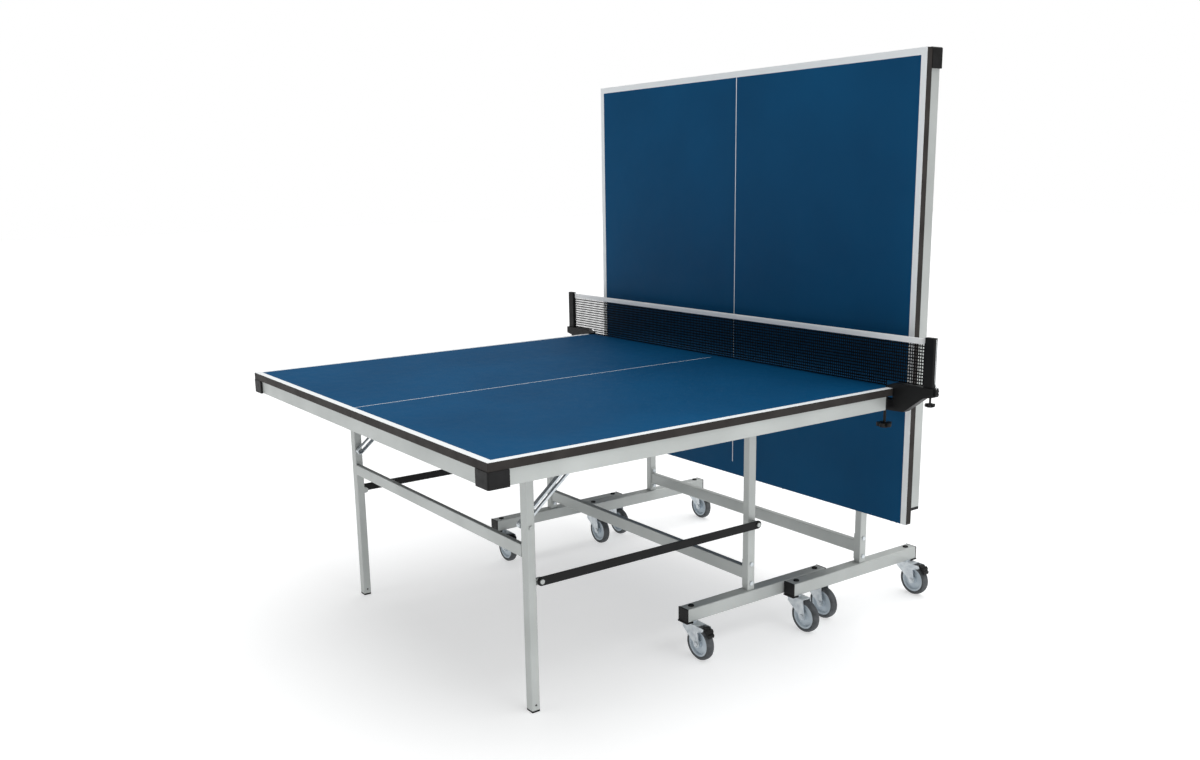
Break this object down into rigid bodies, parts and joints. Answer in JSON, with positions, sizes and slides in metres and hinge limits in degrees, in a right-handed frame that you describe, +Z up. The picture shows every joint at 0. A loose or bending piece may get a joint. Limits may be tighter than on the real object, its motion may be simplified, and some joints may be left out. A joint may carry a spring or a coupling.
{
  "type": "table tennis table",
  "caption": "Folding roll-away table tennis table: a pair of steel-framed halves on castors, one open with the clamped net, the other folded upright.",
  "frame": {"origin": "on the floor, under the centre of the bounding box of the open front half and the folded rear half", "axes": "+X along the net, +Y from the open front half towards the folded rear half, +Z up"},
  "size_m": [1.802, 1.7286, 1.7015],
  "materials": {
    "blue_board": "matt blue lacquered panel with white lines and a dark edge band",
    "silver_paint": "satin silver-grey powder coat",
    "zinc": "satin zinc plate",
    "black_paint": "black powder coat",
    "black_plastic": "fine-grained black moulding",
    "wheel_plastic": "light grey moulding",
    "tyre_rubber": "dark grey tread",
    "net_cloth": "knotless dark mesh with a white tape"
  },
  "bodies": {
    "front_carriage": {"front_posts": "silver_paint", "front_cross_member": "silver_paint", "front_frame_bolts": "zinc", "front_rails": "silver_paint", "front_rail_caps": "black_plastic"},
    "front_top": {"front_board": "blue_board", "front_apron": "silver_paint", "front_corner_caps": "black_plastic", "front_brackets": "zinc", "net": "net_cloth", "net_posts": "black_paint"},
    "front_legs": {"front_legs": "silver_paint", "front_feet": "black_plastic"},
    "front_link_rods": {"front_link_rods": "black_paint"},
    "front_stays": {"front_stays": "zinc"},
    "rear_carriage": {"rear_posts": "silver_paint", "rear_cross_member": "silver_paint", "rear_frame_bolts": "zinc", "rear_rails": "silver_paint", "rear_rail_caps": "black_plastic"},
    "rear_top": {"rear_board": "blue_board", "rear_apron": "silver_paint", "rear_corner_caps": "black_plastic", "rear_brackets": "zinc"},
    "rear_legs": {"rear_legs": "silver_paint", "rear_feet": "black_plastic"},
    "rear_link_rods": {"rear_link_rods": "black_paint"},
    "rear_stays": {"rear_stays": "zinc"},
    "front_right_inner_fork": {"front_right_inner_fork": "zinc"},
    "front_right_inner_wheel": {"front_right_inner_hub": "wheel_plastic", "front_right_inner_tyre": "tyre_rubber"},
    "front_right_outer_fork": {"front_right_outer_fork": "zinc"},
    "front_right_outer_wheel": {"front_right_outer_hub": "wheel_plastic", "front_right_outer_tyre": "tyre_rubber"},
    "front_right_outer_pedal": {"front_right_outer_pedal": "black_plastic"},
    "front_left_inner_fork": {"front_left_inner_fork": "zinc"},
    "front_left_inner_wheel": {"front_left_inner_hub": "wheel_plastic", "front_left_inner_tyre": "tyre_rubber"},
    "front_left_outer_fork": {"front_left_outer_fork": "zinc"},
    "front_left_outer_wheel": {"front_left_outer_hub": "wheel_plastic", "front_left_outer_tyre": "tyre_rubber"},
    "front_left_outer_pedal": {"front_left_outer_pedal": "black_plastic"},
    "rear_left_inner_fork": {"rear_left_inner_fork": "zinc"},
    "rear_left_inner_wheel": {"rear_left_inner_hub": "wheel_plastic", "rear_left_inner_tyre": "tyre_rubber"},
    "rear_left_outer_fork": {"rear_left_outer_fork": "zinc"},
    "rear_left_outer_wheel": {"rear_left_outer_hub": "wheel_plastic", "rear_left_outer_tyre": "tyre_rubber"},
    "rear_left_outer_pedal": {"rear_left_outer_pedal": "black_plastic"},
    "rear_right_inner_fork": {"rear_right_inner_fork": "zinc"},
    "rear_right_inner_wheel": {"rear_right_inner_hub": "wheel_plastic", "rear_right_inner_tyre": "tyre_rubber"},
    "rear_right_outer_fork": {"rear_right_outer_fork": "zinc"},
    "rear_right_outer_wheel": {"rear_right_outer_hub": "wheel_plastic", "rear_right_outer_tyre": "tyre_rubber"},
    "rear_right_outer_pedal": {"rear_right_outer_pedal": "black_plastic"},
    "clamp_screw_right": {"clamp_screw_right": "black_plastic"},
    "tension_screw_right": {"tension_screw_right": "black_plastic"},
    "clamp_screw_left": {"clamp_screw_left": "black_plastic"},
    "tension_screw_left": {"tension_screw_left": "black_plastic"}
  },
  "joints": [
    {"name": "rear_roll", "type": "slide", "parent": "front_carriage", "child": "rear_carriage", "axis": [0.6, 0.8, 0], "range_m": [0, 0.41]},
    {"name": "front_fold", "type": "hinge", "parent": "front_carriage", "child": "front_top", "pos_m": [0, 0.13925, 0.698], "axis": [-1, 0, 0], "range_deg": [0, 90]},
    {"name": "front_leg_fold", "type": "hinge", "parent": "front_top", "child": "front_legs", "pos_m": [0, -0.62025, 0.698], "axis": [-1, 0, 0], "range_deg": [-90, 0]},
    {"name": "front_rod_swing", "type": "hinge", "parent": "front_carriage", "child": "front_link_rods", "pos_m": [0, 0.16425, 0.359], "axis": [-1, 0, 0], "range_deg": [0, 90]},
    {"name": "front_stay_swing", "type": "hinge", "parent": "front_top", "child": "front_stays", "pos_m": [0, -0.39225, 0.698], "axis": [-1, 0, 0], "range_deg": [0, 40.1]},
    {"name": "rear_fold", "type": "hinge", "parent": "rear_carriage", "child": "rear_top", "pos_m": [0, 0.62825, 0.698], "axis": [1, 0, 0], "range_deg": [-90, 0]},
    {"name": "rear_leg_fold", "type": "hinge", "parent": "rear_top", "child": "rear_legs", "pos_m": [0, 0.62825, 1.4575], "axis": [1, 0, 0], "range_deg": [0, 90]},
    {"name": "rear_rod_swing", "type": "hinge", "parent": "rear_carriage", "child": "rear_link_rods", "pos_m": [0, 0.60325, 0.359], "axis": [1, 0, 0], "range_deg": [-90, 0]},
    {"name": "rear_stay_swing", "type": "hinge", "parent": "rear_top", "child": "rear_stays", "pos_m": [0, 0.62825, 1.2295], "axis": [1, 0, 0], "range_deg": [-40.1, 0]},
    {"name": "front_right_inner_swivel", "type": "hinge", "parent": "front_carriage", "child": "front_right_inner_fork", "pos_m": [0.5135, 0.44625, 0.104], "axis": [0, 0, 1], "continuous": true},
    {"name": "front_right_inner_roll", "type": "hinge", "parent": "front_right_inner_fork", "child": "front_right_inner_wheel", "pos_m": [0.5555, 0.44625, 0.05], "axis": [0, 1, 0], "continuous": true},
    {"name": "front_right_outer_swivel", "type": "hinge", "parent": "front_carriage", "child": "front_right_outer_fork", "pos_m": [0.5135, -0.06375, 0.104], "axis": [0, 0, 1], "continuous": true},
    {"name": "front_right_outer_roll", "type": "hinge", "parent": "front_right_outer_fork", "child": "front_right_outer_wheel", "pos_m": [0.5555, -0.06375, 0.05], "axis": [0, 1, 0], "continuous": true},
    {"name": "front_right_outer_brake", "type": "hinge", "parent": "front_right_outer_fork", "child": "front_right_outer_pedal", "pos_m": [0.5795, -0.06375, 0.099], "axis": [0, 1, 0], "range_deg": [0, 4]},
    {"name": "front_left_inner_swivel", "type": "hinge", "parent": "front_carriage", "child": "front_left_inner_fork", "pos_m": [-0.5565, 0.44625, 0.104], "axis": [0, 0, 1], "continuous": true},
    {"name": "front_left_inner_roll", "type": "hinge", "parent": "front_left_inner_fork", "child": "front_left_inner_wheel", "pos_m": [-0.5145, 0.44625, 0.05], "axis": [0, 1, 0], "continuous": true},
    {"name": "front_left_outer_swivel", "type": "hinge", "parent": "front_carriage", "child": "front_left_outer_fork", "pos_m": [-0.5565, -0.06375, 0.104], "axis": [0, 0, 1], "continuous": true},
    {"name": "front_left_outer_roll", "type": "hinge", "parent": "front_left_outer_fork", "child": "front_left_outer_wheel", "pos_m": [-0.5145, -0.06375, 0.05], "axis": [0, 1, 0], "continuous": true},
    {"name": "front_left_outer_brake", "type": "hinge", "parent": "front_left_outer_fork", "child": "front_left_outer_pedal", "pos_m": [-0.4905, -0.06375, 0.099], "axis": [0, 1, 0], "range_deg": [0, 4]},
    {"name": "rear_left_inner_swivel", "type": "hinge", "parent": "rear_carriage", "child": "rear_left_inner_fork", "pos_m": [-0.5135, 0.32125, 0.104], "axis": [0, 0, 1], "continuous": true},
    {"name": "rear_left_inner_roll", "type": "hinge", "parent": "rear_left_inner_fork", "child": "rear_left_inner_wheel", "pos_m": [-0.4715, 0.32125, 0.05], "axis": [0, 1, 0], "continuous": true},
    {"name": "rear_left_outer_swivel", "type": "hinge", "parent": "rear_carriage", "child": "rear_left_outer_fork", "pos_m": [-0.5135, 0.83125, 0.104], "axis": [0, 0, 1], "continuous": true},
    {"name": "rear_left_outer_roll", "type": "hinge", "parent": "rear_left_outer_fork", "child": "rear_left_outer_wheel", "pos_m": [-0.4715, 0.83125, 0.05], "axis": [0, 1, 0], "continuous": true},
    {"name": "rear_left_outer_brake", "type": "hinge", "parent": "rear_left_outer_fork", "child": "rear_left_outer_pedal", "pos_m": [-0.4475, 0.83125, 0.099], "axis": [0, 1, 0], "range_deg": [0, 4]},
    {"name": "rear_right_inner_swivel", "type": "hinge", "parent": "rear_carriage", "child": "rear_right_inner_fork", "pos_m": [0.5565, 0.32125, 0.104], "axis": [0, 0, 1], "continuous": true},
    {"name": "rear_right_inner_roll", "type": "hinge", "parent": "rear_right_inner_fork", "child": "rear_right_inner_wheel", "pos_m": [0.5985, 0.32125, 0.05], "axis": [0, 1, 0], "continuous": true},
    {"name": "rear_right_outer_swivel", "type": "hinge", "parent": "rear_carriage", "child": "rear_right_outer_fork", "pos_m": [0.5565, 0.83125, 0.104], "axis": [0, 0, 1], "continuous": true},
    {"name": "rear_right_outer_roll", "type": "hinge", "parent": "rear_right_outer_fork", "child": "rear_right_outer_wheel", "pos_m": [0.5985, 0.83125, 0.05], "axis": [0, 1, 0], "continuous": true},
    {"name": "rear_right_outer_brake", "type": "hinge", "parent": "rear_right_outer_fork", "child": "rear_right_outer_pedal", "pos_m": [0.6225, 0.83125, 0.099], "axis": [0, 1, 0], "range_deg": [0, 4]},
    {"name": "clamp_right", "type": "slide", "parent": "front_top", "child": "clamp_screw_right", "axis": [0, 0, -1], "range_m": [0, 0.009]},
    {"name": "tension_right", "type": "hinge", "parent": "front_top", "child": "tension_screw_right", "pos_m": [0.884, 0.49325, 0.72], "axis": [0, 0, 1], "continuous": true},
    {"name": "clamp_left", "type": "slide", "parent": "front_top", "child": "clamp_screw_left", "axis": [0, 0, -1], "range_m": [0, 0.009]},
    {"name": "tension_left", "type": "hinge", "parent": "front_top", "child": "tension_screw_left", "pos_m": [-0.884, 0.49325, 0.72], "axis": [0, 0, 1], "continuous": true}
  ],
  "couplings": [
    {"joint": "front_leg_fold", "follows": "front_fold", "ratio": -1},
    {"joint": "front_rod_swing", "follows": "front_fold", "ratio": 1},
    {"joint": "front_stay_swing", "follows": "front_fold", "ratio": 0.44556},
    {"joint": "rear_leg_fold", "follows": "rear_fold", "ratio": -1},
    {"joint": "rear_rod_swing", "follows": "rear_fold", "ratio": 1},
    {"joint": "rear_stay_swing", "follows": "rear_fold", "ratio": 0.44556},
    {"joint": "rear_roll", "follows": "rear_fold", "m_per_rad": -0.2586}
  ]
}
